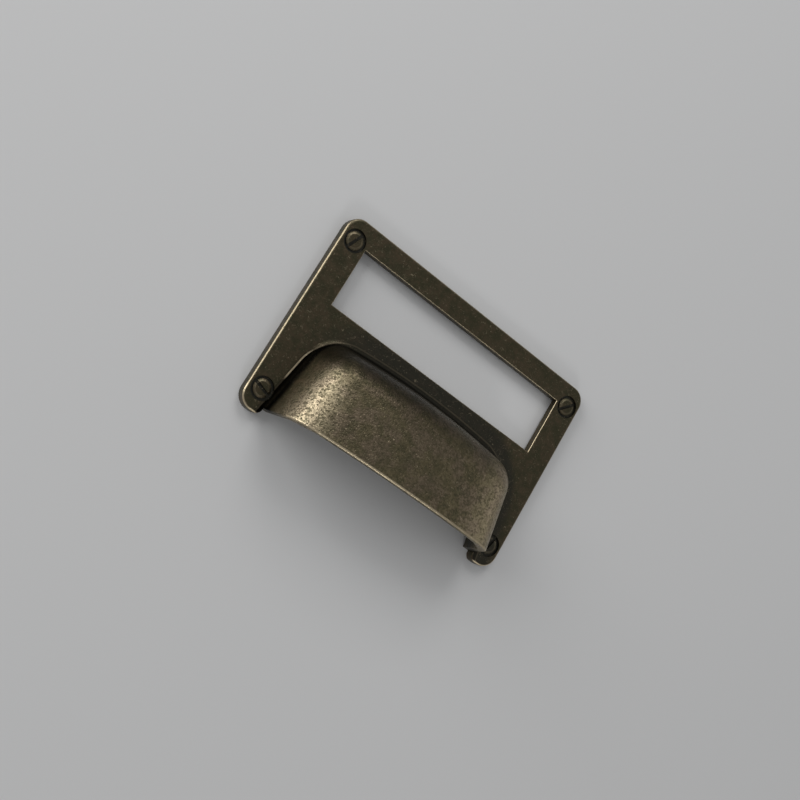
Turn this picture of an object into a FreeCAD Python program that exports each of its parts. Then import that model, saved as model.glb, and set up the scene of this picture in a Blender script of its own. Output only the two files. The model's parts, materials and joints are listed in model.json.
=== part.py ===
import FreeCAD, Part
import Sketcher
import math
import os

# A label frame pull: one zinc casting with a card window above a hooded finger cup.
# It lies on its back: X runs along the plate, Y towards the window, Z out of the drawer front.

SIZES = [
    ("plate_width", "82", "overall length of the plate"),
    ("plate_height", "54", "overall height of the plate, lugs included"),
    ("plate_thickness", "3", "plate thickness from back to face"),
    ("plate_corner", "4", "radius of the plate's outer corners"),
    ("face_round", "0.7", "rounding of the plate's outer face edge"),
    ("window_width", "67.2", "card window, along the plate"),
    ("window_height", "15.9", "card window, across the plate"),
    ("window_drop", "6.1", "from the top edge to the window"),
    ("window_round", "0.3", "rounding of the window's face edge"),
    ("card_margin", "2.2", "card seat beyond the window on each side"),
    ("card_depth", "0.8", "depth of the card seat in the back"),
    ("lug_width", "6.8", "width of each lower lug, which is also the hood's side inset"),
    ("lug_reach", "2.1", "how far the lugs run past the mouth"),
    ("lug_round", "1.8", "rounding of the lug's inner corner"),
    ("hood_gap", "4.9", "from the window to the root of the hood"),
    ("hood_height", "17", "height of the rim above the plate's face"),
    ("hood_lean", "10", "lean of the hood's sides in plan, degrees"),
    ("hood_draft", "16", "slope of the hood's outer walls, degrees"),
    ("hood_corner", "7.8", "radius of the hood's two upper corners"),
    ("hood_bow", "220", "radius of the bowed upper root"),
    ("crown_radius", "130", "radius of the roof along the plate"),
    ("roof_fall", "6", "fall of the roof towards the window, degrees"),
    ("shoulder_round", "8.5", "rounding between walls and roof"),
    ("root_fillet", "1.5", "fillet between hood and plate"),
    ("wall_root", "2.5", "wall of the hood at the plate's face"),
    ("wall_roof", "1.8", "wall of the hood under the roof"),
    ("hollow_draft", "12", "slope of the cup's inner walls, degrees"),
    ("hollow_corner", "5.6", "radius of the cup's two upper corners"),
    ("hollow_bevel", "4", "bevel between the cup's walls and ceiling"),
    ("rim_round", "0.5", "rounding of the rim's outer edge"),
    ("screw_side", "3.8", "cast screw head from the plate's side"),
    ("screw_end", "5.8", "cast screw head from the plate's upper or lower edge"),
    ("screw_head", "4.6", "diameter of a cast screw head"),
    ("screw_ring", "6", "outer diameter of the ring groove round it"),
    ("ring_depth", "0.6", "depth of the ring groove"),
    ("head_bevel", "0.6", "width of the bevel round a head"),
    ("head_fall", "0.25", "fall of that bevel"),
    ("slot_width", "0.8", "width of the cast slot"),
    ("slot_depth", "0.55", "depth of the cast slot"),
    ("slot_upper_left", "67", "turn of the slot, degrees"),
    ("slot_upper_right", "46", "turn of the slot, degrees"),
    ("slot_lower_left", "-18", "turn of the slot, degrees"),
    ("slot_lower_right", "75", "turn of the slot, degrees"),
    ("post_spacing", "50", "between the two tapped posts"),
    ("post_diameter", "7", "outer diameter of a post"),
    ("post_setback", "12", "from the mouth to the posts"),
    ("tap_bore", "4", "bore of the tapped hole, at the root of its thread"),
    ("tap_depth", "9", "depth of the tapped hole"),
    ("tap_mouth", "0.4", "chamfer at the mouth of the tapped hole"),
]
SAME = 1e-4
FULL_TURN = 360

document = FreeCAD.newDocument("label_frame_pull")
sheet = document.addObject("Spreadsheet::Sheet", "sizes")
for row, (alias, text, meaning) in enumerate(SIZES, start=1):
    sheet.set("A%d" % row, meaning)
    sheet.set("B%d" % row, text)
    sheet.setAlias("B%d" % row, alias)
document.recompute()

# Places that several features share, each as one size expression.
TOP = "(sizes.plate_height / 2)"
END = "(sizes.plate_width / 2)"
MOUTH = "(sizes.plate_height / 2 - sizes.lug_reach)"
SIDE = "(sizes.plate_width / 2 - sizes.lug_width)"
WINDOW_TOP = "(sizes.plate_height / 2 - sizes.window_drop)"
WINDOW_LOW = "(sizes.plate_height / 2 - sizes.window_drop - sizes.window_height)"
ROOT = "(sizes.plate_height / 2 - sizes.window_drop - sizes.window_height - sizes.hood_gap)"
RIM = "(sizes.plate_thickness + sizes.hood_height)"
ABOVE = "(2 * (sizes.plate_thickness + sizes.hood_height))"
RUN_OUT = "(sizes.plate_height / 2 - sizes.lug_reach + sizes.plate_thickness + sizes.hood_height)"
SCREW_X = "(sizes.plate_width / 2 - sizes.screw_side)"
SCREW_Y = "(sizes.plate_height / 2 - sizes.screw_end)"
POST_Y = "(sizes.post_setback - sizes.plate_height / 2 + sizes.lug_reach)"


def value(expression):
    """The number that a size expression gives."""
    return float(sheet.evalExpression(expression))


def new_body(name):
    """An empty body."""
    body = document.addObject("PartDesign::Body", name)
    body.Label = name
    return body


def origin_item(body, role):
    """One of the body's own origin planes or axes."""
    return [item for item in body.Origin.OriginFeatures if item.Role == role][0]


def new_sketch(body, name, plane, axis=None, **offsets):
    """A sketch on an origin plane; offsets are size expressions for x, y, z and turn."""
    sketch = body.newObject("Sketcher::SketchObject", name)
    sketch.AttachmentSupport = (origin_item(body, plane), [""])
    sketch.MapMode = "FlatFace"
    if "turn" in offsets:
        spin = FreeCAD.Rotation(axis, value(offsets["turn"]))
        sketch.AttachmentOffset = FreeCAD.Placement(FreeCAD.Vector(), spin)
    paths = {"x": "Base.x", "y": "Base.y", "z": "Base.z", "turn": "Rotation.Angle"}
    for key, expression in offsets.items():
        sketch.setExpression("AttachmentOffset." + paths[key], expression)
    sketch.Visibility = False
    return sketch


def drive(sketch, name, expression, kind, *where):
    """A named constraint whose number comes from the sheet."""
    number = value(expression)
    if kind == "Angle":
        number = math.radians(number)
    index = sketch.addConstraint(Sketcher.Constraint(kind, *where, number))
    sketch.renameConstraint(index, name)
    sketch.setExpression("Constraints." + name, expression)


def outline(sketch, points, bulges=None):
    """A closed chain of sides; bulges gives an arc side its middle point. Returns the first side."""
    first = sketch.GeometryCount
    count = len(points)
    places = [FreeCAD.Vector(x, y, 0) for x, y in points]
    for index, start in enumerate(places):
        end = places[(index + 1) % count]
        if bulges and index in bulges:
            middle = FreeCAD.Vector(*bulges[index], 0)
            sketch.addGeometry(Part.Arc(start, middle, end), False)
        else:
            sketch.addGeometry(Part.LineSegment(start, end), False)
    for index in range(count):
        following = first + (index + 1) % count
        sketch.addConstraint(Sketcher.Constraint("Coincident", first + index, 2, following, 1))
    return first


def rectangle(sketch, name, low_x, high_x, low_y, high_y):
    """A driven rectangle from four size expressions."""
    left, right, bottom, top = (value(item) for item in (low_x, high_x, low_y, high_y))
    first = outline(sketch, [(left, bottom), (right, bottom), (right, top), (left, top)])
    for index in (0, 2):
        sketch.addConstraint(Sketcher.Constraint("Horizontal", first + index))
        sketch.addConstraint(Sketcher.Constraint("Vertical", first + index + 1))
    drive(sketch, name + "_left", low_x, "DistanceX", -1, 1, first, 1)
    drive(sketch, name + "_right", high_x, "DistanceX", -1, 1, first, 2)
    drive(sketch, name + "_low", low_y, "DistanceY", -1, 1, first, 1)
    drive(sketch, name + "_high", high_y, "DistanceY", -1, 1, first + 2, 1)


def circle(sketch, name, centre_x, centre_y, diameter):
    """A driven circle from three size expressions."""
    place = FreeCAD.Vector(value(centre_x), value(centre_y), 0)
    shape = Part.Circle(place, FreeCAD.Vector(0, 0, 1), value(diameter) / 2)
    index = sketch.addGeometry(shape, False)
    drive(sketch, name + "_x", centre_x, "DistanceX", -1, 1, index, 3)
    drive(sketch, name + "_y", centre_y, "DistanceY", -1, 1, index, 3)
    drive(sketch, name + "_diameter", diameter, "Diameter", index)


def add_feature(body, kind, name, profile=None, driven=None, **settings):
    """A feature at the tip of the body; driven settings are size expressions."""
    document.recompute()
    feature = body.newObject("PartDesign::" + kind, name)
    if profile is not None:
        feature.Profile = (profile, [""])
    for key, setting in settings.items():
        setattr(feature, key, setting)
    for key, expression in (driven or {}).items():
        feature.setExpression(key, expression)
    body.Tip = feature
    document.recompute()
    if not feature.isValid() or feature.Shape.isNull():
        raise RuntimeError("feature failed: " + name)
    return feature


def round_edges(body, name, radius, test, kind="Fillet"):
    """Round or bevel the edges of the tip whose middle point passes the test."""
    base = body.Tip
    names = []
    for number, edge in enumerate(base.Shape.Edges, start=1):
        middle = edge.valueAt((edge.FirstParameter + edge.LastParameter) / 2)
        if test(middle, edge):
            names.append("Edge%d" % number)
    key = "Radius" if kind == "Fillet" else "Size"
    return add_feature(body, kind, name, driven={key: radius}, Base=(base, names))


def join_bodies(body, name, kind, tool):
    """Add another body to this one, or take it away."""
    boolean = body.newObject("PartDesign::Boolean", name)
    boolean.Type = kind
    boolean.setObjects([tool])
    body.Tip = boolean
    document.recompute()
    if not boolean.isValid() or boolean.Shape.isNull():
        raise RuntimeError("feature failed: " + name)


def near(first, second):
    """True where two lengths agree."""
    return abs(first - second) < SAME


def upright(edge):
    """True for an edge that climbs by more than half its length."""
    climb = abs(edge.valueAt(edge.FirstParameter).z - edge.valueAt(edge.LastParameter).z)
    return climb > edge.Length / 2


def in_window(at):
    """True for a point on the border of the card window."""
    within_x = abs(at.x) < value("sizes.window_width / 2") + SAME
    return within_x and value(WINDOW_LOW) - SAME < at.y < value(WINDOW_TOP) + SAME


def on_border(at):
    """True for a point on the outer border of the plate and lugs."""
    from_screw = math.hypot(abs(at.x) - value(SCREW_X), abs(at.y) - value(SCREW_Y))
    if from_screw < value("sizes.screw_ring / 2") + SAME:
        return False
    inside_x = abs(at.x) < value(END) - value("sizes.plate_corner") / 2
    inside_y = mouth - SAME < at.y < value(TOP) - value("sizes.plate_corner") / 2
    return not (inside_x and inside_y)


def hood_form(name, inset, level, draft, sink, corner):
    """A drafted form with a crowned roof: the outside of the hood, or the hollow in it."""
    body = new_body(name)
    root = "(%s - %s)" % (ROOT, inset)
    foot = "(%s - %s + %s * tan(sizes.hood_lean))" % (SIDE, inset, RIM)
    plan = new_sketch(body, name + "_plan", "XY_Plane", z=level)
    spread, bottom, apex = value(foot), -value(RUN_OUT), value(root)
    bow, lean = value("sizes.hood_bow"), value("tan(sizes.hood_lean)")
    half = spread - (apex - bottom) * lean
    upper = apex - bow + math.sqrt(bow * bow - half * half)
    outline(plan, [(-spread, bottom), (spread, bottom), (half, upper), (-half, upper)], {2: (0, apex)})
    plan.addConstraint(Sketcher.Constraint("Symmetric", 0, 1, 0, 2, -2))
    plan.addConstraint(Sketcher.Constraint("Symmetric", 2, 1, 2, 2, -2))
    drive(plan, "foot_x", foot, "DistanceX", -1, 1, 0, 2)
    drive(plan, "foot_y", "-1 * " + RUN_OUT, "DistanceY", -1, 1, 0, 2)
    drive(plan, "lean", "90 + sizes.hood_lean", "Angle", 1)
    drive(plan, "bow", "sizes.hood_bow", "Radius", 2)
    drive(plan, "bow_y", root + " - sizes.hood_bow", "DistanceY", -1, 1, 2, 3)
    pad = add_feature(body, "Pad", name + "_pad", plan, {"Length": RIM})
    walls = []
    for number, side in enumerate(pad.Shape.Faces, start=1):
        if near(side.BoundBox.ZLength, value(RIM)) and side.CenterOfMass.y > bottom + SAME:
            walls.append("Face%d" % number)
        if near(side.BoundBox.ZMax, value(level)):
            base = "Face%d" % number
    add_feature(
        body, "Draft", name + "_draft", None, {"Angle": draft},
        Base=(pad, walls), NeutralPlane=(pad, [base]))
    round_edges(body, name + "_corners", corner, lambda at, edge: at.y > mouth and upright(edge))
    tilt = FreeCAD.Vector(-1, 0, 0)
    roof = new_sketch(body, name + "_roof", "XZ_Plane", tilt, z=MOUTH, turn="sizes.roof_fall")
    crown = "((%s - %s) * cos(sizes.roof_fall))" % (RIM, sink)
    radius = "(sizes.crown_radius - %s)" % sink
    reach, peak, sweep = value(END), value(crown), value(radius)
    ends = peak - sweep + math.sqrt(sweep * sweep - reach * reach)
    above = value(ABOVE)
    outline(roof, [(reach, ends), (-reach, ends), (-reach, above), (reach, above)], {0: (0, peak)})
    roof.addConstraint(Sketcher.Constraint("Symmetric", 0, 1, 0, 2, -2))
    roof.addConstraint(Sketcher.Constraint("Vertical", 1))
    roof.addConstraint(Sketcher.Constraint("Horizontal", 2))
    roof.addConstraint(Sketcher.Constraint("Vertical", 3))
    drive(roof, "reach", END, "DistanceX", -1, 1, 0, 1)
    drive(roof, "crown", radius, "Radius", 0)
    drive(roof, "crown_y", "%s - %s" % (crown, radius), "DistanceY", -1, 1, 0, 3)
    drive(roof, "above", ABOVE, "DistanceY", -1, 1, 2, 1)
    add_feature(body, "Pocket", name + "_crown", roof, Type="ThroughAll", Midplane=True)
    return body


face = value("sizes.plate_thickness")
mouth = -value(MOUTH)
shoulder = value("sizes.plate_thickness + sizes.hood_height / 2")

# The outside of the hood, cut off flat at the mouth and rounded over its shoulders.
hood = hood_form("hood", "0", "sizes.plate_thickness", "sizes.hood_draft", "0", "sizes.hood_corner")
cut = new_sketch(hood, "hood_mouth_plan", "XY_Plane")
rectangle(cut, "mouth", "-1 * sizes.plate_width", "sizes.plate_width", "-2 * " + RUN_OUT, "-1 * " + MOUTH)
add_feature(hood, "Pocket", "hood_mouth", cut, Type="ThroughAll", Midplane=True)
round_edges(
    hood, "hood_shoulders", "sizes.shoulder_round",
    lambda at, edge: at.z > shoulder and at.y > mouth + SAME and not upright(edge))

# The finger hollow, with a thicker wall at the root and a post left standing at each end.
inset = "(sizes.wall_root - sizes.plate_thickness * tan(sizes.hollow_draft))"
hollow = hood_form("hollow", inset, "0", "sizes.hollow_draft", "sizes.wall_roof", "sizes.hollow_corner")
low_end = -value(MOUTH) - value(RIM) / 2
round_edges(
    hollow, "hollow_shoulders", "sizes.hollow_bevel",
    lambda at, edge: at.z > shoulder and at.y > low_end and not upright(edge), "Chamfer")
posts = new_sketch(hollow, "posts_plan", "XY_Plane")
circle(posts, "left", "-1 * sizes.post_spacing / 2", POST_Y, "sizes.post_diameter")
circle(posts, "right", "sizes.post_spacing / 2", POST_Y, "sizes.post_diameter")
add_feature(hollow, "Pocket", "posts", posts, Type="ThroughAll", Midplane=True)

# The plate, down to the mouth, with its two upper corners rounded.
pull = new_body("label_frame_pull")
plan = new_sketch(pull, "plate_plan", "XY_Plane")
rectangle(plan, "plate", "-1 * " + END, END, "-1 * " + MOUTH, TOP)
add_feature(pull, "Pad", "plate", plan, {"Length": "sizes.plate_thickness"})
round_edges(
    pull, "plate_corners", "sizes.plate_corner",
    lambda at, edge: near(at.y, value(TOP)) and upright(edge))

# The hood joins the plate with a soft root.
join_bodies(pull, "hood_joined", "Fuse", hood)
round_edges(
    pull, "hood_root", "sizes.root_fillet",
    lambda at, edge: near(at.z, face) and not near(at.y, mouth) and abs(at.x) < value(SIDE) + SAME
    and at.y < value(WINDOW_LOW))

# The rim is rounded along the whole mouth, from one side of the plate to the other.
round_edges(
    pull, "rim_outer", "sizes.rim_round",
    lambda at, edge: near(at.y, mouth) and at.z > face - SAME)

# Two lugs carry the plate's side strips past the mouth.
lugs = new_sketch(pull, "lugs_plan", "XY_Plane")
lug_top = "(sizes.plate_corner - %s)" % MOUTH
rectangle(lugs, "left", "-1 * " + END, "-1 * " + SIDE, "-1 * " + TOP, lug_top)
rectangle(lugs, "right", SIDE, END, "-1 * " + TOP, lug_top)
add_feature(pull, "Pad", "lugs", lugs, {"Length": "sizes.plate_thickness"})
round_edges(
    pull, "lug_outer_corners", "sizes.plate_corner",
    lambda at, edge: near(at.y, -value(TOP)) and near(abs(at.x), value(END)) and upright(edge))
round_edges(
    pull, "lug_inner_corners", "sizes.lug_round",
    lambda at, edge: near(at.y, -value(TOP)) and near(abs(at.x), value(SIDE)) and upright(edge))

# The hollow opens the cup at the mouth and at the back.
join_bodies(pull, "cup_hollow", "Cut", hollow)

# The card window, and the shallow seat for the card round it in the back.
window = new_sketch(pull, "window_plan", "XY_Plane")
half_window = "(sizes.window_width / 2)"
rectangle(window, "window", "-1 * " + half_window, half_window, WINDOW_LOW, WINDOW_TOP)
add_feature(pull, "Pocket", "card_window", window, Type="ThroughAll", Midplane=True)
round_edges(
    pull, "window_edge", "sizes.window_round",
    lambda at, edge: near(at.z, face) and in_window(at))
seat = new_sketch(pull, "seat_plan", "XY_Plane")
half_seat = "(sizes.window_width / 2 + sizes.card_margin)"
seat_low = WINDOW_LOW + " - sizes.card_margin"
seat_high = WINDOW_TOP + " + sizes.card_margin"
rectangle(seat, "seat", "-1 * " + half_seat, half_seat, seat_low, seat_high)
add_feature(pull, "Pocket", "card_seat", seat, {"Length": "sizes.card_depth"}, Reversed=True)

# Four cast screw heads: a bevelled disc in a ring groove, turned once and mirrored both ways.
ring = new_sketch(pull, "screw_profile", "XZ_Plane", x=SCREW_X, z="-1 * " + SCREW_Y)
head = value("sizes.screw_head / 2")
outer = value("sizes.screw_ring / 2")
flat = head - value("sizes.head_bevel")
brow = face - value("sizes.head_fall")
floor = face - value("sizes.ring_depth")
clear = value(RIM)
outline(ring, [(head, brow), (flat, face), (flat, clear), (outer, clear), (outer, floor), (head, floor)])
for index in (1, 3, 5):
    ring.addConstraint(Sketcher.Constraint("Vertical", index))
for index in (2, 4):
    ring.addConstraint(Sketcher.Constraint("Horizontal", index))
drive(ring, "head", "sizes.screw_head / 2", "DistanceX", -1, 1, 0, 1)
drive(ring, "flat", "sizes.screw_head / 2 - sizes.head_bevel", "DistanceX", -1, 1, 0, 2)
drive(ring, "ring", "sizes.screw_ring / 2", "DistanceX", -1, 1, 3, 1)
drive(ring, "top", "sizes.plate_thickness", "DistanceY", -1, 1, 0, 2)
drive(ring, "brow", "sizes.plate_thickness - sizes.head_fall", "DistanceY", -1, 1, 0, 1)
drive(ring, "floor", "sizes.plate_thickness - sizes.ring_depth", "DistanceY", -1, 1, 4, 2)
drive(ring, "clear", RIM, "DistanceY", -1, 1, 2, 1)
axis = (ring, ["V_Axis"])
groove = add_feature(pull, "Groove", "screw_ring", ring, ReferenceAxis=axis, Angle=FULL_TURN)
across = pull.newObject("PartDesign::Mirrored", "screws_across")
across.MirrorPlane = (origin_item(pull, "YZ_Plane"), [""])
along = pull.newObject("PartDesign::Mirrored", "screws_along")
along.MirrorPlane = (origin_item(pull, "XZ_Plane"), [""])
add_feature(pull, "MultiTransform", "screw_rings", Originals=[groove], Transformations=[across, along])

# Each head has its own slot, turned its own way, which ends half way across the groove.
out = FreeCAD.Vector(0, 0, 1)
half_slot = "(sizes.slot_width / 2)"
long_slot = "((sizes.screw_head + sizes.screw_ring) / 4)"
SLOTS = [
    ("slot_upper_left", "-1 * " + SCREW_X, SCREW_Y),
    ("slot_upper_right", SCREW_X, SCREW_Y),
    ("slot_lower_left", "-1 * " + SCREW_X, "-1 * " + SCREW_Y),
    ("slot_lower_right", SCREW_X, "-1 * " + SCREW_Y),
]
for name, across_x, along_y in SLOTS:
    place = {"x": across_x, "y": along_y, "z": "sizes.plate_thickness", "turn": "sizes." + name}
    slot = new_sketch(pull, name + "_plan", "XY_Plane", out, **place)
    rectangle(slot, "slot", "-1 * " + long_slot, long_slot, "-1 * " + half_slot, half_slot)
    add_feature(pull, "Pocket", name, slot, {"Length": "sizes.slot_depth"})

# A tapped hole runs up into each post from the back.
taps = new_sketch(pull, "taps_plan", "XY_Plane")
circle(taps, "left", "-1 * sizes.post_spacing / 2", POST_Y, "sizes.tap_bore")
circle(taps, "right", "sizes.post_spacing / 2", POST_Y, "sizes.tap_bore")
add_feature(pull, "Pocket", "taps", taps, {"Length": "sizes.tap_depth"}, Reversed=True)
bore = value("sizes.tap_bore / 2")
round_edges(
    pull, "tap_mouths", "sizes.tap_mouth",
    lambda at, edge: near(at.z, 0) and near(edge.Length, 2 * math.pi * bore), "Chamfer")

# The face edges of the plate and the lugs are rounded.
round_edges(
    pull, "face_edge", "sizes.face_round",
    lambda at, edge: near(at.z, face) and on_border(at))

document.recompute()
for item in document.Objects:
    if "Invalid" in item.State or "Error" in item.State:
        raise RuntimeError("bad state: " + item.Label)
final = pull.Shape
if final.isNull() or not final.isValid() or len(final.Solids) != 1:
    raise RuntimeError("the pull is not one sound solid")
os.makedirs("parts", exist_ok=True)
final.exportStep("parts/label_frame_pull.step")
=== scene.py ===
"""Dresses a cast label frame pull: antique bronze finish, threads in its posts, and a plain stage."""

import functools
import json
import math
from typing import NamedTuple

import bpy
import numpy as np
from mathutils import Matrix, Vector


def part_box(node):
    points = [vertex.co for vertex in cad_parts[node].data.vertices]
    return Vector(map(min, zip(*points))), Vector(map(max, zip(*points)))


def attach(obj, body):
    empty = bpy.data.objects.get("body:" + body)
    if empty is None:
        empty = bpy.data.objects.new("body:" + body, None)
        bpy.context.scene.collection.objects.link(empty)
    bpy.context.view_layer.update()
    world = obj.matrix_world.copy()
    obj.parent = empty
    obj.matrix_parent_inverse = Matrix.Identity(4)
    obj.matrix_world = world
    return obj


bl_info = {
    "name": "Label Frame Pull",
    "version": (1, 0, 0),
    "blender": (4, 5, 0),
    "location": "View3D > Sidebar > Label Pull",
    "description": "Antique bronze finish, post threads and stage for a cast label frame pull",
    "category": "Object",
}

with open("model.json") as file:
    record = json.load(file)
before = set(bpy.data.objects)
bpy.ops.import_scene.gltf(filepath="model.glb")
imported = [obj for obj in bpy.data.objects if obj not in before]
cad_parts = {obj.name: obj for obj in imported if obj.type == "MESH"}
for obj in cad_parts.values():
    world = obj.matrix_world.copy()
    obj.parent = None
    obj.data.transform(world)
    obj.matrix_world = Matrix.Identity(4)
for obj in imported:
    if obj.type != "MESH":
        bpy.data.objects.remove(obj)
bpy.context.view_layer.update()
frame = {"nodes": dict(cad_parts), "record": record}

CASTING = "label_frame_pull"
BODY = "root"
MM = 0.001

low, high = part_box(CASTING)
record = frame["record"]
OPENINGS = {item["name"]: item["box_m"] for item in record["physics"]["openings"]}
MOUNTS = {item["name"]: item for item in record["mounts"]}
WINDOW_LOW, WINDOW_HIGH = (Vector(corner) for corner in OPENINGS["label_window"])
HOLES = MOUNTS["fixing_holes"]


class Fade(NamedTuple):
    """A smooth change: low where a measure is at start, high where it is at end."""

    start: float
    end: float
    low: float = 0.0
    high: float = 1.0


class Edge(NamedTuple):
    """A worn edge in millimetres: its band's width and raggedness, and where it begins above the face."""

    width: float
    breakup: float
    level: float


class Places(NamedTuple):
    """Where a point of the casting lies, as node outputs in millimetres."""

    point: bpy.types.NodeSocket  # the point itself
    above: bpy.types.NodeSocket  # height above the plate's face
    left: bpy.types.NodeSocket  # from the hood's left end towards its right end
    right: bpy.types.NodeSocket  # from the hood's right end towards its left end
    mouth: bpy.types.NodeSocket  # from the cup's mouth towards the window
    border: bpy.types.NodeSocket  # to the plate's outline, negative inside it
    window: bpy.types.NodeSocket  # to the window's edge, negative inside it
    hood: bpy.types.NodeSocket  # to the hood's outline on the plate, negative inside it
    screw: bpy.types.NodeSocket  # to the middle of the nearest cast screw head


# Parts of the patina's pattern, by the noise or cells that they come from, and the sizes of two of them
NOISE_MIDDLE = 0.5
MOTTLE_CONTRAST = Fade(0.34, 0.66)
GRAIN_CONTRAST = Fade(0.36, 0.64)
GRAIN_SOFT_SHARE = 0.45
PIT_REACH = Fade(0.55, 0.10)
PIT_CELLS = Fade(0.75, 0.25)
FLECK_SIZE_IN_GRAINS = 1.5
FLECK_CONTRAST = Fade(0.58, 0.74)
CLOUD_SIZE_IN_MOTTLES = 2.0
CLOUD_CONTRAST = Fade(0.40, 0.60)
TINT_BY_GRAIN = Fade(0.0, 1.0, 0.4, 1.0)

# Bare edges, in millimetres; the border is barest near the mouth, and the rim at its left end
BORDER_EDGE = Edge(width=0.48, breakup=0.2, level=-0.6)
WINDOW_EDGE = Edge(width=0.24, breakup=0.2, level=-0.35)
RIM_EDGE = Edge(width=0.34, breakup=0.1, level=8.0)
RIM_INSET = 0.34
RUB_LUMP = 1.1
RUB_CORE = 0.35
RUB_STEP = 0.3
BORDER_BARE = Fade(4.0, 1.0, 0.45, 1.0)
WINDOW_BARE = 0.6
RIM_BARE = Fade(19.2, 59.2, 1.0, 0.65)

# The hood's raised top and shoulders, in millimetres; their wear by mottle and grain, partly painted
# highlight
HOOD_RAISED = Fade(2.0, 10.0)
LEFT_SHOULDER = Fade(14.2, 7.2)
LEFT_SHOULDER_FRONT = Fade(17.9, 8.9)
RIGHT_SHOULDER = Fade(18.2, 8.2)
THINNED_BY_MOTTLE = Fade(0.0, 1.0, 0.45, 0.85)
HANDLED_AND_HIGHLIGHT_BY_GRAIN = Fade(0.1, 0.9, 0.35, 1.3)
LEFT_SPARKLE = Fade(0.14, 0.72, 0.04, 0.44)
RIGHT_SPARKLE = Fade(0.1, 0.9, 0.08, 0.32)

# Dark grooves round the cast screw heads and the heads' lighter edges, in millimetres
RING_EDGE = Fade(0.15, -0.05)
RING_TOP = Fade(-0.22, -0.42)
RING_BOTTOM = Fade(-1.7, -1.4)
HEAD_EDGE_RADIUS = 1.85
HEAD_EDGE = Fade(0.30, 0.10, 0.0, 0.10)
HEAD_TOP = Fade(-0.60, -0.45)

# Patina and painted shade at the hood's foot, in millimetres: heights above the face, the plate beside
# it, the root
FOOT_TOP = Fade(3.0, 1.2)
FOOT_BOTTOM = Fade(-0.4, -0.1)
STRIP_WIDTH = Fade(7.0, 4.0)
STRIP_FROM_LEFT = Fade(-1.8, 18.2)
STRIP_DARK = 0.75
ROOT_WIDTH = Fade(1.9, 1.2)
ROOT_FROM_LEFT = Fade(10.2, 4.2, 0.40, 0.98)

# Painted shade on the hood's back, in millimetres, and how flecks die out in it and the root's painted
# shade
BACK_INSIDE = Fade(0.8, 0.2)
BACK_FROM_MOUTH = Fade(13.0, 20.0)
BACK_FROM_LEFT = Fade(22.2, 50.2, 1.0, 0.40)
BACK_DARK = 0.70
BLACK = (0.0, 0.0, 0.0)
FLECK_IN_SHADE = Fade(0.0, 0.6, 0.38, 0.0)

# Thin painted highlight of bare brass outside the hood's root, strongest along the left end, in
# millimetres
CREASE_OUTSIDE = 1.30
CREASE_WIDTH = Fade(0.28, 0.12)
CREASE_FRONT = Fade(7.9, 9.9)
CREASE_BACK = Fade(18.9, 15.9)
CREASE_FROM_LEFT = Fade(6.2, 4.2)
CREASE_LEAST = 0.10

# Gloss and depth of the grain
ROUGHNESS_SWING = 0.06
PLATE_GRAIN_SHARE = 0.35

# Section of a thread's ridge, in pitches: places inwards from the wall, half heights at foot and crest
RIDGE_SUNK = -0.04
RIDGE_FOOT = 0.02
RIDGE_CREST = 0.54
RIDGE_FOOT_HALF = 0.44
RIDGE_CREST_HALF = 0.125
STEPS_PER_TURN = 48

# Stage: lengths in metres, angles in degrees from +X towards +Y and up from the floor
FLOOR_REACH = 3.0
FLOOR_GAP = 0.02 * MM
FLOOR_ROUGHNESS = 0.6
WORLD_COLOUR = (0.98, 0.99, 1.0)
LIGHTS = {
    "key": {"azimuth": 108, "elevation": 40, "distance": 0.90, "size": 0.45},
    "side": {"azimuth": 167, "elevation": 22, "distance": 1.00, "size": 0.63},
    "front": {"azimuth": -68, "elevation": 28, "distance": 1.00, "size": 0.22},
    "right": {"azimuth": 22, "elevation": 26, "distance": 1.00, "size": 0.45},
}

# Camera: the image's width in pixels, the sensor's in millimetres, and the nearest sight in metres
IMAGE_PIXELS = 800
SENSOR_WIDTH = 36.0
CLIP_START = 1 * MM


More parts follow.
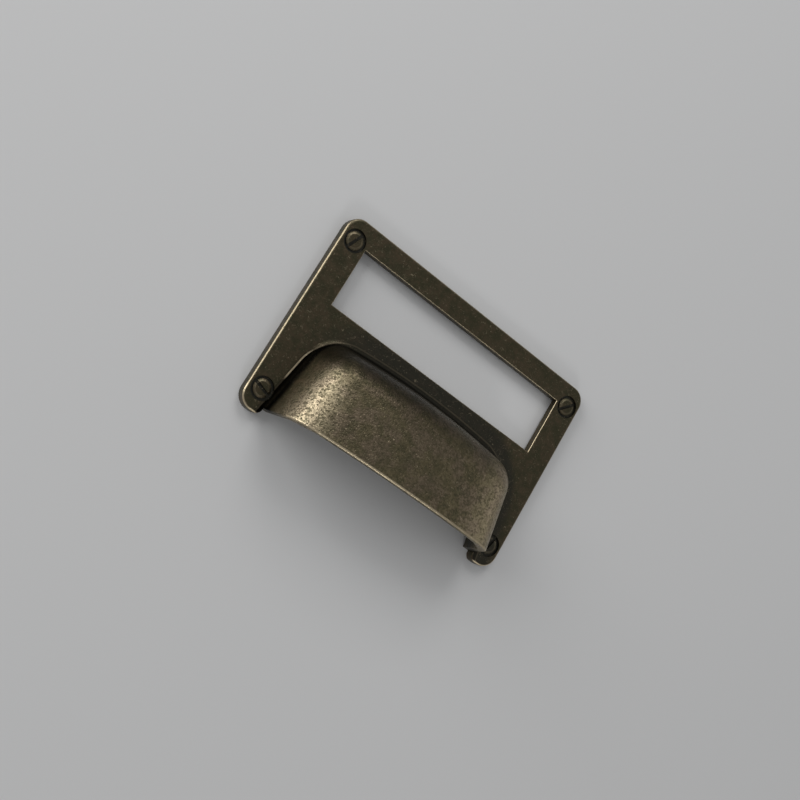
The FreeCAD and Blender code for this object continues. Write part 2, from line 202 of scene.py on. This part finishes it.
class PullSizes(bpy.types.PropertyGroup):
    """Places on the casting that the finish and the threads follow."""

    face_level: bpy.props.FloatProperty(
        name="Face Level", description="Height of the plate's face above its back",
        default=3.0 * MM, unit="LENGTH")
    plate_corner: bpy.props.FloatProperty(
        name="Plate Corner", description="Radius of the plate's outer corners",
        default=4.0 * MM, unit="LENGTH")
    window_margin: bpy.props.FloatProperty(
        name="Window Margin", description="From the clear window opening to the window's edge",
        default=0.15 * MM, unit="LENGTH")
    mouth: bpy.props.FloatProperty(
        name="Mouth", description="Place of the cup's mouth along Y",
        default=low.y + 2.1 * MM, unit="LENGTH")
    hood_half: bpy.props.FloatProperty(
        name="Hood Half Width", description="Half the width of the hood at the mouth, on the plate",
        default=high.x - 6.8 * MM, unit="LENGTH")
    hood_lean: bpy.props.FloatProperty(
        name="Hood Lean", description="Lean of the hood's sides in plan",
        default=math.radians(10.0), subtype="ANGLE")
    hood_corner: bpy.props.FloatProperty(
        name="Hood Corner", description="Radius of the hood's two upper corners",
        default=7.8 * MM, unit="LENGTH")
    hood_bow: bpy.props.FloatProperty(
        name="Hood Bow", description="Radius of the bowed upper root",
        default=220.0 * MM, unit="LENGTH")
    hood_root: bpy.props.FloatProperty(
        name="Hood Root", description="Place of the hood's upper root along Y",
        default=0.1 * MM, unit="LENGTH")
    screw_side: bpy.props.FloatProperty(
        name="Screw Side", description="From the plate's end to a cast screw head",
        default=3.8 * MM, unit="LENGTH")
    screw_end: bpy.props.FloatProperty(
        name="Screw End", description="From the plate's upper or lower edge to a cast screw head",
        default=5.8 * MM, unit="LENGTH")
    screw_ring: bpy.props.FloatProperty(
        name="Screw Ring", description="Outer radius of the groove round a cast screw head",
        default=3.0 * MM, unit="LENGTH")
    thread_pitch: bpy.props.FloatProperty(
        name="Thread Pitch", description="Rise of the post thread in one turn",
        default=0.7 * MM, unit="LENGTH")
    thread_start: bpy.props.FloatProperty(
        name="Thread Start", description="Depth at which the thread begins",
        default=0.45 * MM, unit="LENGTH")
    thread_end: bpy.props.FloatProperty(
        name="Thread End", description="Depth at which the thread runs out",
        default=8.4 * MM, unit="LENGTH")


class PullFinish(bpy.types.PropertyGroup):
    """Colours and gloss of the antique bronze."""

    # Also partly painted shade, on the plate beside the hood
    dark: bpy.props.FloatVectorProperty(
        name="Dark Patina", description="Colour in the recesses",
        subtype="COLOR", size=3, min=0.0, max=1.0, default=(0.044, 0.043, 0.036))
    olive: bpy.props.FloatVectorProperty(
        name="Olive Patina", description="Colour of the plate",
        subtype="COLOR", size=3, min=0.0, max=1.0, default=(0.070, 0.065, 0.039))
    brown: bpy.props.FloatVectorProperty(
        name="Brown Patina", description="Colour of the warm blotches",
        subtype="COLOR", size=3, min=0.0, max=1.0, default=(0.118, 0.089, 0.057))
    # Also partly painted highlight, on the hood's right shoulder
    rubbed: bpy.props.FloatVectorProperty(
        name="Rubbed Bronze", description="Colour where hands have thinned the patina",
        subtype="COLOR", size=3, min=0.0, max=1.0, default=(0.209, 0.164, 0.112))
    thin_olive: bpy.props.FloatVectorProperty(
        name="Thin Olive", description="Colour of the olive blotches in the thinned patina",
        subtype="COLOR", size=3, min=0.0, max=1.0, default=(0.189, 0.158, 0.091))
    # Also the painted highlights on the hood's root line and shoulders
    brass: bpy.props.FloatVectorProperty(
        name="Bare Brass", description="Colour of the bright edges and flecks",
        subtype="COLOR", size=3, min=0.0, max=1.0, default=(0.660, 0.550, 0.375))
    mottle_size: bpy.props.FloatProperty(
        name="Mottle Size", description="Size of the patina's blotches",
        default=2.3 * MM, unit="LENGTH")
    grain_size: bpy.props.FloatProperty(
        name="Grain Size", description="Size of the fine speckle",
        default=0.55 * MM, unit="LENGTH")
    grain_depth: bpy.props.FloatProperty(
        name="Grain Depth", description="Depth of the fine speckle",
        default=0.050 * MM, unit="LENGTH")
    roughness: bpy.props.FloatProperty(
        name="Roughness", description="Roughness of the patina", default=0.42, subtype="FACTOR")
    gloss: bpy.props.FloatProperty(
        name="Rubbed Roughness", description="Roughness of bare brass", default=0.34, subtype="FACTOR")


class PullStage(bpy.types.PropertyGroup):
    """Floor, lights and camera."""

    floor_colour: bpy.props.FloatVectorProperty(
        name="Floor", description="Colour of the floor",
        subtype="COLOR", size=3, min=0.0, max=1.0, default=(0.64, 0.64, 0.64))
    world_strength: bpy.props.FloatProperty(
        name="World", description="Strength of the even light", default=0.29, min=0.0)
    key_glow: bpy.props.FloatProperty(
        name="Key Light", description="Brightness of the broad light beyond the window",
        default=3.3, min=0.0)
    side_glow: bpy.props.FloatProperty(
        name="Side Light", description="Brightness of the light at the left end",
        default=4.2, min=0.0)
    front_glow: bpy.props.FloatProperty(
        name="Front Light", description="Brightness of the light before the mouth",
        default=7.0, min=0.0)
    right_glow: bpy.props.FloatProperty(
        name="Right Light", description="Brightness of the faint light at the right end",
        default=0.55, min=0.0)
    azimuth: bpy.props.FloatProperty(
        name="Azimuth", description="Turn of the camera round the pull",
        default=math.radians(-61.443), subtype="ANGLE")
    elevation: bpy.props.FloatProperty(
        name="Elevation", description="Height of the camera above the floor",
        default=math.radians(63.049), subtype="ANGLE")
    roll: bpy.props.FloatProperty(
        name="Roll", description="Turn of the camera about its own axis",
        default=math.radians(95.028), subtype="ANGLE")
    distance: bpy.props.FloatProperty(
        name="Distance", description="From the camera to its aim", default=0.297136, unit="LENGTH")
    aim: bpy.props.FloatVectorProperty(
        name="Aim", description="Point that the camera looks at",
        subtype="XYZ", unit="LENGTH", size=3, default=(-0.005576, -0.000384, 0.003))
    focal_pixels: bpy.props.FloatProperty(
        name="Focal Length", description="Focal length in pixels of the image", default=1200.14)
    centre: bpy.props.FloatVectorProperty(
        name="Image Centre", description="Pixel that the camera's axis meets",
        size=2, default=(407.2, 387.4))


class Wiring:
    """Adds linked nodes to a tree; each input is a number, a colour or another node's output."""

    def __init__(self, tree):
        self.tree = tree

    def add(self, kind, inputs=None, **settings):
        """One node with its settings and inputs."""
        node = self.tree.nodes.new("ShaderNode" + kind)
        for name, setting in settings.items():
            setattr(node, name, setting)
        for key, given in (inputs or {}).items():
            self.feed(node.inputs[key], given)
        return node

    def feed(self, socket, given):
        """Links an output to the socket, or sets the socket's own value."""
        if isinstance(given, bpy.types.NodeSocket):
            self.tree.links.new(given, socket)
        elif socket.type == "RGBA":
            socket.default_value = (*given, 1.0)
        else:
            socket.default_value = given

    def math(self, operation, *values):
        """One arithmetic step."""
        node = self.add("Math", operation=operation)
        for socket, given in zip(node.inputs, values):
            self.feed(socket, given)
        return node.outputs[0]

    def product(self, *values):
        """All the values multiplied."""
        return functools.reduce(functools.partial(self.math, "MULTIPLY"), values)

    def largest(self, *values):
        """The largest of the values."""
        return functools.reduce(functools.partial(self.math, "MAXIMUM"), values)

    def length(self, first, second):
        """Length of a line whose two parts stand at a right angle."""
        squares = [self.math("POWER", part, 2.0) for part in (first, second)]
        return self.math("SQRT", self.math("ADD", *squares))

    def off(self, given, place):
        """How far a value is from a place, either way."""
        return self.math("ABSOLUTE", self.math("SUBTRACT", given, place))

    def ramp(self, given, start, end, low=0.0, high=1.0):
        """Goes smoothly from low at start to high at end."""
        inputs = {"Value": given, "From Min": start, "From Max": end, "To Min": low, "To Max": high}
        return self.add("MapRange", inputs, interpolation_type="SMOOTHSTEP").outputs["Result"]

    def blend(self, factor, first, second):
        """Blends two numbers."""
        return self.add("Mix", {0: factor, 2: first, 3: second}, data_type="FLOAT").outputs[0]

    def mix(self, factor, first, second):
        """Blends two colours, whose sockets come after the Mix node's others."""
        return self.add("Mix", {0: factor, 6: first, 7: second}, data_type="RGBA").outputs[2]

    def noise(self, vector, size, detail, roughness=0.5, distortion=0.0):
        """Soft noise whose lumps are about this size; distortion draws them out into streaks."""
        inputs = {"Vector": vector, "Scale": self.math("DIVIDE", 1.0, size), "Detail": detail,
                  "Roughness": roughness, "Distortion": distortion}
        return self.add("TexNoise", inputs).outputs["Fac"]


def new_group(name, inputs, outputs):
    """An empty node group with its sockets. Returns the group, its wiring, its inputs and its outputs."""
    group = bpy.data.node_groups.new(name, "ShaderNodeTree")
    for in_out, sockets in (("INPUT", inputs), ("OUTPUT", outputs)):
        for label, kind in sockets.items():
            group.interface.new_socket(label, in_out=in_out, socket_type="NodeSocket" + kind)
    entry = group.nodes.new("NodeGroupInput")
    return group, Wiring(group), entry.outputs, group.nodes.new("NodeGroupOutput").inputs


def place_group(wire, group, inputs):
    """One use of a group. Returns its outputs."""
    return wire.add("Group", inputs, node_tree=group).outputs


def box_distance_group():
    """Signed distance in the plate's plane to a rectangle with rounded corners: take the point's offset
    from the rectangle's inner corner on both axes; outside it is the length of the positive offsets,
    inside it is the larger offset, and both are less the corner's radius."""
    inputs = {"Vector": "Vector", "Centre": "Vector", "Half X": "Float", "Half Y": "Float",
              "Corner": "Float"}
    group, wire, given, out = new_group("Box Distance", inputs, {"Distance": "Float"})
    offset = wire.add("VectorMath", {0: given["Vector"], 1: given["Centre"]}, operation="SUBTRACT")
    split = wire.add("SeparateXYZ", {0: offset.outputs[0]}).outputs
    sides = []
    for axis in "XY":
        reach = wire.math("SUBTRACT", given["Half " + axis], given["Corner"])
        sides.append(wire.math("SUBTRACT", wire.math("ABSOLUTE", split[axis]), reach))
    outside = wire.length(*(wire.largest(side, 0.0) for side in sides))
    inside = wire.math("MINIMUM", wire.largest(*sides), 0.0)
    sharp = wire.math("ADD", outside, inside)
    wire.feed(out["Distance"], wire.math("SUBTRACT", sharp, given["Corner"]))
    return group


def speckle_group():
    """Patina pattern, each part from 0 to 1: broad blotches, fine grain of small cells, pits in the
    darker cells and a few ragged flecks."""
    inputs = {"Vector": "Vector", "Mottle Size": "Float", "Grain Size": "Float"}
    outputs = {"Mottle": "Float", "Grain": "Float", "Pit": "Float", "Fleck": "Float"}
    group, wire, given, out = new_group("Patina Speckle", inputs, outputs)
    point, grain_size = given["Vector"], given["Grain Size"]
    blotch = wire.noise(point, given["Mottle Size"], detail=5.0, roughness=0.65)
    wire.feed(out["Mottle"], wire.ramp(blotch, *MOTTLE_CONTRAST))
    soft = wire.ramp(wire.noise(point, grain_size, detail=2.0, roughness=0.55), *GRAIN_CONTRAST)
    cells_per_mm = wire.math("DIVIDE", 1.0, grain_size)
    cells = wire.add("TexVoronoi", {"Vector": point, "Scale": cells_per_mm}).outputs
    shade = wire.add("SeparateColor", {0: cells["Color"]}).outputs[0]
    shares = (wire.product(soft, GRAIN_SOFT_SHARE), wire.product(shade, 1.0 - GRAIN_SOFT_SHARE))
    wire.feed(out["Grain"], wire.math("ADD", *shares))
    hollow = wire.ramp(cells["Distance"], *PIT_REACH)
    wire.feed(out["Pit"], wire.product(hollow, wire.ramp(shade, *PIT_CELLS)))
    chip_size = wire.product(grain_size, FLECK_SIZE_IN_GRAINS)
    chips = wire.noise(point, chip_size, detail=3.0, roughness=0.7, distortion=1.4)
    wire.feed(out["Fleck"], wire.ramp(chips, *FLECK_CONTRAST))
    return group


def rub_group():
    """Wear along an edge: none at the given width from it, full within the core of that width, broken up
    by noise, and only above a level."""
    inputs = {"Vector": "Vector", "Above": "Float", "Distance": "Float", "Width": "Float",
              "Breakup": "Float", "Level": "Float"}
    group, wire, given, out = new_group("Edge Rub", inputs, {"Rub": "Float"})
    wander = wire.math("SUBTRACT", wire.noise(given["Vector"], RUB_LUMP, detail=3.0), NOISE_MIDDLE)
    ragged = wire.product(wander, given["Breakup"])
    away = wire.math("ADD", wire.math("ABSOLUTE", given["Distance"]), ragged)
    band = wire.ramp(away, given["Width"], wire.product(given["Width"], RUB_CORE))
    clear = wire.ramp(given["Above"], given["Level"], wire.math("ADD", given["Level"], RUB_STEP))
    wire.feed(out["Rub"], wire.product(band, clear))
    return group


def mm(length):
    """A length in millimetres, as the finish counts it."""
    return length / MM


def casting_places(wire, sizes):
    """Places of a point, from its Object coordinates. The hood's outline becomes a rounded rectangle when
    its leaning sides are set upright, by adding the lean over the way from the mouth, and its bowed root
    is straightened, by adding the square of X over twice the bow's radius. That rectangle runs on well
    past the mouth, so only its two upper corners count."""
    place = wire.add("TexCoord").outputs["Object"]
    point = wire.add("Mapping", {"Vector": place, "Scale": (1 / MM, 1 / MM, 1 / MM)}).outputs[0]
    axes = wire.add("SeparateXYZ", {0: point}).outputs
    hood_half = mm(sizes.hood_half)
    mouth = wire.math("SUBTRACT", axes["Y"], mm(sizes.mouth))

    lean = wire.product(mouth, math.tan(sizes.hood_lean))
    spread = wire.math("ADD", wire.math("ABSOLUTE", axes["X"]), lean)
    bow = wire.math("DIVIDE", wire.math("POWER", axes["X"], 2.0), 2 * mm(sizes.hood_bow))
    upright = wire.add("CombineXYZ", {"X": spread, "Y": wire.math("ADD", axes["Y"], bow)}).outputs[0]
    reach = 2 * mm(sizes.hood_root - sizes.mouth)

    margin = mm(sizes.window_margin)
    window_y = mm(WINDOW_LOW.y + WINDOW_HIGH.y) / 2
    window_half = mm(WINDOW_HIGH.y - WINDOW_LOW.y) / 2 + margin
    outlines = {
        "border": (point, 0.0, mm(high.x), mm(high.y), mm(sizes.plate_corner)),
        "window": (point, window_y, mm(WINDOW_HIGH.x) + margin, window_half, 0.0),
        "hood": (upright, mm(sizes.hood_root) - reach, hood_half, reach, mm(sizes.hood_corner)),
    }
    box = box_distance_group()
    distances = {}
    for name, (vector, centre_y, half_x, half_y, corner) in outlines.items():
        inputs = {"Vector": vector, "Centre": (0.0, centre_y, 0.0), "Half X": half_x, "Half Y": half_y,
                  "Corner": corner}
        distances[name] = place_group(wire, box, inputs)["Distance"]

    screw_x, screw_y = mm(high.x - sizes.screw_side), mm(high.y - sizes.screw_end)
    across = wire.math("SUBTRACT", wire.math("ABSOLUTE", axes["X"]), screw_x)
    along = wire.math("SUBTRACT", wire.math("ABSOLUTE", axes["Y"]), screw_y)
    return Places(
        point=point,
        above=wire.math("SUBTRACT", axes["Z"], mm(sizes.face_level)),
        left=wire.math("ADD", axes["X"], hood_half),
        right=wire.math("SUBTRACT", hood_half, axes["X"]),
        mouth=mouth,
        screw=wire.length(across, along),
        **distances,
    )


def edge_wear(wire, at):
    """Bare metal along the plate's border, the window's edge and the hood's rim."""
    rub = rub_group()
    from_rim = wire.math("SUBTRACT", at.mouth, RIM_INSET)
    edges = (
        (BORDER_EDGE, at.border, wire.ramp(at.mouth, *BORDER_BARE)),
        (WINDOW_EDGE, at.window, WINDOW_BARE),
        (RIM_EDGE, from_rim, wire.ramp(at.left, *RIM_BARE)),
    )
    worn = []
    for edge, distance, bare in edges:
        inputs = {"Vector": at.point, "Above": at.above, "Distance": distance, "Width": edge.width,
                  "Breakup": edge.breakup, "Level": edge.level}
        worn.append(wire.product(place_group(wire, rub, inputs)["Rub"], bare))
    return wire.largest(*worn)


def hood_wear_and_painted_highlight(wire, at, speckle):
    """The hood's raised part, where hands have thinned its patina, and bare grains on its shoulders; the
    shoulders' bare grains and the right shoulder's lighter colour are partly painted highlight.
    """
    raised = wire.ramp(at.above, *HOOD_RAISED)
    thinned = wire.product(raised, wire.ramp(speckle["Mottle"], *THINNED_BY_MOTTLE))
    # The right shoulder's lighter colour and the shoulders' bare grains are partly wear, partly painted
    # highlight
    right_end = wire.product(raised, wire.ramp(at.right, *RIGHT_SHOULDER))
    left_end = wire.product(
        raised, wire.ramp(at.left, *LEFT_SHOULDER), wire.ramp(at.mouth, *LEFT_SHOULDER_FRONT))
    handled_and_painted_highlight = wire.product(
        wire.math("ADD", thinned, right_end), wire.ramp(speckle["Grain"], *HANDLED_AND_HIGHLIGHT_BY_GRAIN))
    # Bare brass grains on both shoulders: partly wear, partly painted highlight
    sparkle = wire.math(
        "ADD", wire.product(left_end, wire.ramp(speckle["Grain"], *LEFT_SPARKLE)),
        wire.product(right_end, wire.ramp(speckle["Grain"], *RIGHT_SPARKLE)))
    return raised, handled_and_painted_highlight, sparkle


def screw_patina(wire, sizes, at):
    """The dark grooves round the cast screw heads, and the heads' lighter edges."""
    in_ring = wire.ramp(wire.math("SUBTRACT", at.screw, mm(sizes.screw_ring)), *RING_EDGE)
    sunk = wire.product(in_ring, wire.ramp(at.above, *RING_TOP), wire.ramp(at.above, *RING_BOTTOM))
    head_edge = wire.ramp(wire.off(at.screw, HEAD_EDGE_RADIUS), *HEAD_EDGE)
    return sunk, wire.product(head_edge, wire.ramp(at.above, *HEAD_TOP))


def foot_patina_and_painted_light(wire, at):
    """Darker patina and painted shade on the plate beside the hood, black patina and painted shade at
    the hood's root, black painted shade on its back, and a painted highlight of bare brass along the
    root."""
    foot = wire.product(wire.ramp(at.above, *FOOT_TOP), wire.ramp(at.above, *FOOT_BOTTOM))
    # Darker patina and painted shade on the plate beside the hood, fading out towards its left end
    strip_patina_and_shade = wire.product(
        wire.ramp(at.hood, *STRIP_WIDTH), wire.ramp(at.left, *STRIP_FROM_LEFT), foot, STRIP_DARK)
    # Black patina in the root's crease and painted shade, strongest at the hood's left end
    root = wire.product(
        foot, wire.ramp(wire.math("ABSOLUTE", at.hood), *ROOT_WIDTH), wire.ramp(at.left, *ROOT_FROM_LEFT))
    # Painted shade: the hood's back darkened, most towards its left end
    back = wire.product(
        wire.ramp(at.mouth, *BACK_FROM_MOUTH), wire.ramp(at.hood, *BACK_INSIDE),
        wire.ramp(at.left, *BACK_FROM_LEFT), BACK_DARK)
    # Painted highlight: a thin line of bare brass just outside the root, strongest along the left end
    crease = wire.ramp(wire.off(at.hood, CREASE_OUTSIDE), *CREASE_WIDTH)
    bare = wire.product(
        wire.ramp(at.mouth, *CREASE_FRONT), wire.ramp(at.mouth, *CREASE_BACK),
        wire.ramp(at.left, *CREASE_FROM_LEFT))
    glint = wire.product(crease, foot, wire.largest(bare, CREASE_LEAST))
    return strip_patina_and_shade, wire.largest(root, back), glint


def bronze_material(sizes, finish):
    """Antique bronze: olive and brown patina with fine grain, thin on the hood, dark in the recesses, and
    rubbed to bare brass on the edges; with painted shade at the hood's foot, root and back, and painted
    highlights on the root line and the shoulders."""
    material = bpy.data.materials.new("antique_bronze_patina_and_painted_light")
    material.use_nodes = True
    material.node_tree.nodes.clear()
    wire = Wiring(material.node_tree)
    at = casting_places(wire, sizes)
    mottle_size, grain_depth = mm(finish.mottle_size), mm(finish.grain_depth)
    pattern = {"Vector": at.point, "Mottle Size": mottle_size, "Grain Size": mm(finish.grain_size)}
    speckle = place_group(wire, speckle_group(), pattern)

    raised, handled_and_painted_highlight, sparkle = hood_wear_and_painted_highlight(wire, at, speckle)
    sunk, head_edge = screw_patina(wire, sizes, at)
    # Painted shade by the hood's foot, root and back, and a painted highlight along the root
    strip_patina_and_shade, shade, glint = foot_patina_and_painted_light(wire, at)
    fleck = wire.product(speckle["Fleck"], wire.ramp(shade, *FLECK_IN_SHADE))
    shine = wire.largest(fleck, glint, sparkle, edge_wear(wire, at), head_edge)

    tint = wire.product(speckle["Mottle"], wire.ramp(speckle["Grain"], *TINT_BY_GRAIN))
    clouds = wire.noise(at.point, CLOUD_SIZE_IN_MOTTLES * mottle_size, detail=3.0, roughness=0.6)
    thin = wire.mix(wire.ramp(clouds, *CLOUD_CONTRAST), finish.thin_olive, finish.rubbed)
    colour = finish.olive
    layers = (
        (tint, finish.brown),
        # Thinned patina, and on the right shoulder partly painted highlight
        (handled_and_painted_highlight, thin),
        # Dark patina in the screw grooves, and darker patina with painted shade on the plate beside the
        # hood
        (wire.largest(sunk, strip_patina_and_shade), finish.dark),
        # Painted shade in black on the hood's root and back
        (shade, BLACK),
        # Bare brass on worn edges and flecks, and painted highlights on the root line and the shoulders
        (shine, finish.brass),
    )
    for mask, layer in layers:
        colour = wire.mix(mask, colour, layer)

    dullest, glossiest = finish.roughness + ROUGHNESS_SWING, finish.roughness - ROUGHNESS_SWING
    dull = wire.ramp(speckle["Grain"], 0.0, 1.0, dullest, glossiest)
    rough = wire.blend(shine, dull, finish.gloss)
    deep = wire.ramp(raised, 0.0, 1.0, PLATE_GRAIN_SHARE * grain_depth, grain_depth)
    height = wire.product(wire.math("SUBTRACT", speckle["Grain"], speckle["Pit"]), deep)
    bump = wire.add("Bump", {"Strength": 1.0, "Distance": MM, "Height": height}).outputs[0]
    inputs = {"Base Color": colour, "Metallic": 1.0, "Roughness": rough, "Normal": bump}
    shader = wire.add("BsdfPrincipled", inputs)
    wire.add("OutputMaterial", {"Surface": shader.outputs[0]})
    return material


def thread_ridge(radius, pitch, start, end):
    """Ridge of an inside thread: a closed trapezoid section carried up a helix. A section point keeps its
    height in the section, and the turn angle adds the pitch over a full turn. It also keeps its distance
    from the wall, apart from the first half turn, where the ridge grows out of the wall, and the last,
    where it dies into it."""
    turns = (end - start) / pitch
    angle = np.linspace(0.0, 2 * np.pi * turns, int(turns * STEPS_PER_TURN) + 1)
    depth = pitch * np.array([RIDGE_SUNK, RIDGE_FOOT, RIDGE_CREST, RIDGE_CREST, RIDGE_FOOT, RIDGE_SUNK])
    upper = np.array([RIDGE_CREST_HALF, RIDGE_FOOT_HALF, RIDGE_FOOT_HALF])
    rise = pitch * np.concatenate([-upper[::-1], upper])
    grow = np.clip(np.minimum(angle, angle[-1] - angle) / np.pi, 0.0, 1.0)
    grow = grow * grow * (3 - 2 * grow)
    inward = radius - np.minimum(depth, 0.0) - np.outer(grow, np.maximum(depth, 0.0))
    height = start + (pitch * angle / (2 * np.pi))[:, None] + rise[None, :]
    turned = (inward * np.cos(angle)[:, None], inward * np.sin(angle)[:, None])
    points = np.stack([*turned, height], axis=-1)
    count, corners = points.shape[:2]
    grid = np.arange(count * corners).reshape(count, corners)
    after = np.roll(grid, -1, axis=1)
    sides = np.stack([grid[:-1], after[:-1], after[1:], grid[1:]], axis=-1).reshape(-1, 4)
    caps = [grid[0, ::-1].tolist(), grid[-1].tolist()]
    return points.reshape(-1, 3), sides.tolist() + caps


def new_piece(name, points, faces, material):
    """A mesh object at the origin, with smooth faces, that rides on the casting's body."""
    mesh = bpy.data.meshes.new(name)
    mesh.from_pydata(points.tolist(), [], faces)
    mesh.validate()
    mesh.shade_smooth()
    mesh.materials.append(material)
    piece = bpy.data.objects.new(name, mesh)
    bpy.context.scene.collection.objects.link(piece)
    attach(piece, BODY)


class PULL_OT_dress_casting(bpy.types.Operator):
    """Give the casting its antique bronze finish"""

    bl_idname = "pull.dress_casting"
    bl_label = "Dress Casting"

    def execute(self, context):
        scene = context.scene
        material = bronze_material(scene.pull_sizes, scene.pull_finish)
        casting = frame["nodes"][CASTING]
        casting.data.materials.clear()
        casting.data.materials.append(material)
        return {"FINISHED"}


class PULL_OT_cut_threads(bpy.types.Operator):
    """Put the thread into both posts"""

    bl_idname = "pull.cut_threads"
    bl_label = "Cut Threads"

    def execute(self, context):
        sizes = context.scene.pull_sizes
        radius = HOLES["dims"]["hole_r_mm"] * MM
        spacing = HOLES["dims"]["spacing_x_mm"] * MM
        ridge, faces = thread_ridge(radius, sizes.thread_pitch, sizes.thread_start, sizes.thread_end)
        material = frame["nodes"][CASTING].data.materials[0]
        for name, side in (("left_post_thread", -1), ("right_post_thread", 1)):
            centre = np.array(HOLES["pos_m"]) + np.array([side * spacing / 2, 0.0, 0.0])
            new_piece(name, ridge + centre, faces, material)
        return {"FINISHED"}


def soft_light(name, glow, azimuth, elevation, distance, size):
    """A square area light that looks at the middle of the pull; its power is its brightness times pi and
    its area."""
    lamp = bpy.data.lights.new(name, "AREA")
    lamp.energy = glow * math.pi * size * size
    lamp.size = size
    light = bpy.data.objects.new(name, lamp)
    turn, rise = math.radians(azimuth), math.radians(elevation)
    way = Vector((math.cos(turn) * math.cos(rise), math.sin(turn) * math.cos(rise), math.sin(rise)))
    light.location = (low + high) / 2 + distance * way
    light.rotation_euler = (-way).to_track_quat("-Z", "Y").to_euler()
    bpy.context.scene.collection.objects.link(light)


class PULL_OT_set_stage(bpy.types.Operator):
    """Lay the floor, set the lights and place the camera"""

    bl_idname = "pull.set_stage"
    bl_label = "Set Stage"

    def execute(self, context):
        scene = context.scene
        stage = scene.pull_stage
        self.lay_floor(scene, stage)
        self.light(scene, stage)
        self.place_camera(scene, stage)
        scene.view_settings.view_transform = "Standard"
        return {"FINISHED"}

    def lay_floor(self, scene, stage):
        """A wide plane just under the casting's back."""
        outline = ((-1, -1), (1, -1), (1, 1), (-1, 1))
        corners = [(FLOOR_REACH * x, FLOOR_REACH * y, low.z - FLOOR_GAP) for x, y in outline]
        mesh = bpy.data.meshes.new("floor")
        mesh.from_pydata(corners, [], [(0, 1, 2, 3)])
        material = bpy.data.materials.new("pale_grey_floor")
        material.use_nodes = True
        shader = material.node_tree.nodes["Principled BSDF"]
        shader.inputs["Base Color"].default_value = (*stage.floor_colour, 1.0)
        shader.inputs["Roughness"].default_value = FLOOR_ROUGHNESS
        mesh.materials.append(material)
        floor = bpy.data.objects.new("floor", mesh)
        scene.collection.objects.link(floor)

    def light(self, scene, stage):
        """Even light from the world, and the soft lights round the pull."""
        world = bpy.data.worlds.new("studio")
        world.use_nodes = True
        background = world.node_tree.nodes["Background"]
        background.inputs["Color"].default_value = (*WORLD_COLOUR, 1.0)
        background.inputs["Strength"].default_value = stage.world_strength
        scene.world = world
        for name, place in LIGHTS.items():
            soft_light(name + "_light", getattr(stage, name + "_glow"), **place)

    def place_camera(self, scene, stage):
        """The camera stands off its aim by azimuth and elevation, then rolls about its own axis."""
        back = Vector((math.sin(stage.azimuth) * math.cos(stage.elevation),
                       -math.cos(stage.azimuth) * math.cos(stage.elevation), math.sin(stage.elevation)))
        stand = Matrix.Translation(Vector(stage.aim) + back * stage.distance)
        level = (-back).to_track_quat("-Z", "Y").to_matrix().to_4x4()
        roll = Matrix.Rotation(stage.roll, 4, "Z")
        camera = bpy.data.objects.new("camera", bpy.data.cameras.new("camera"))
        camera.matrix_world = stand @ level @ roll
        camera.data.sensor_width = SENSOR_WIDTH
        camera.data.lens = SENSOR_WIDTH * stage.focal_pixels / IMAGE_PIXELS
        camera.data.shift_x = 0.5 - stage.centre[0] / IMAGE_PIXELS
        camera.data.shift_y = stage.centre[1] / IMAGE_PIXELS - 0.5
        camera.data.clip_start = CLIP_START
        scene.collection.objects.link(camera)
        scene.camera = camera


class PULL_PT_sidebar(bpy.types.Panel):
    """The pull's sizes, finish and stage"""

    bl_idname = "PULL_PT_sidebar"
    bl_label = "Label Frame Pull"
    bl_space_type = "VIEW_3D"
    bl_region_type = "UI"
    bl_category = "Label Pull"

    def draw(self, context):
        for operator in OPERATORS:
            self.layout.operator(operator.bl_idname)
        for name, group in GROUPS.items():
            box = self.layout.box()
            for setting in group.__annotations__:
                box.prop(getattr(context.scene, name), setting)


GROUPS = {"pull_sizes": PullSizes, "pull_finish": PullFinish, "pull_stage": PullStage}
OPERATORS = (PULL_OT_dress_casting, PULL_OT_cut_threads, PULL_OT_set_stage)
CLASSES = (*GROUPS.values(), *OPERATORS, PULL_PT_sidebar)


def register():
    """Makes the classes known and hangs the property groups on the scene."""
    for item in CLASSES:
        bpy.utils.register_class(item)
    for name, group in GROUPS.items():
        setattr(bpy.types.Scene, name, bpy.props.PointerProperty(type=group))


def unregister():
    """Takes back what register did."""
    for name in GROUPS:
        delattr(bpy.types.Scene, name)
    for item in reversed(CLASSES):
        bpy.utils.unregister_class(item)


def main():
    """Builds the dressed pull and its stage."""
    register()
    bpy.ops.pull.dress_casting()
    bpy.ops.pull.cut_threads()
    bpy.ops.pull.set_stage()


if __name__ == "__main__":
    main()
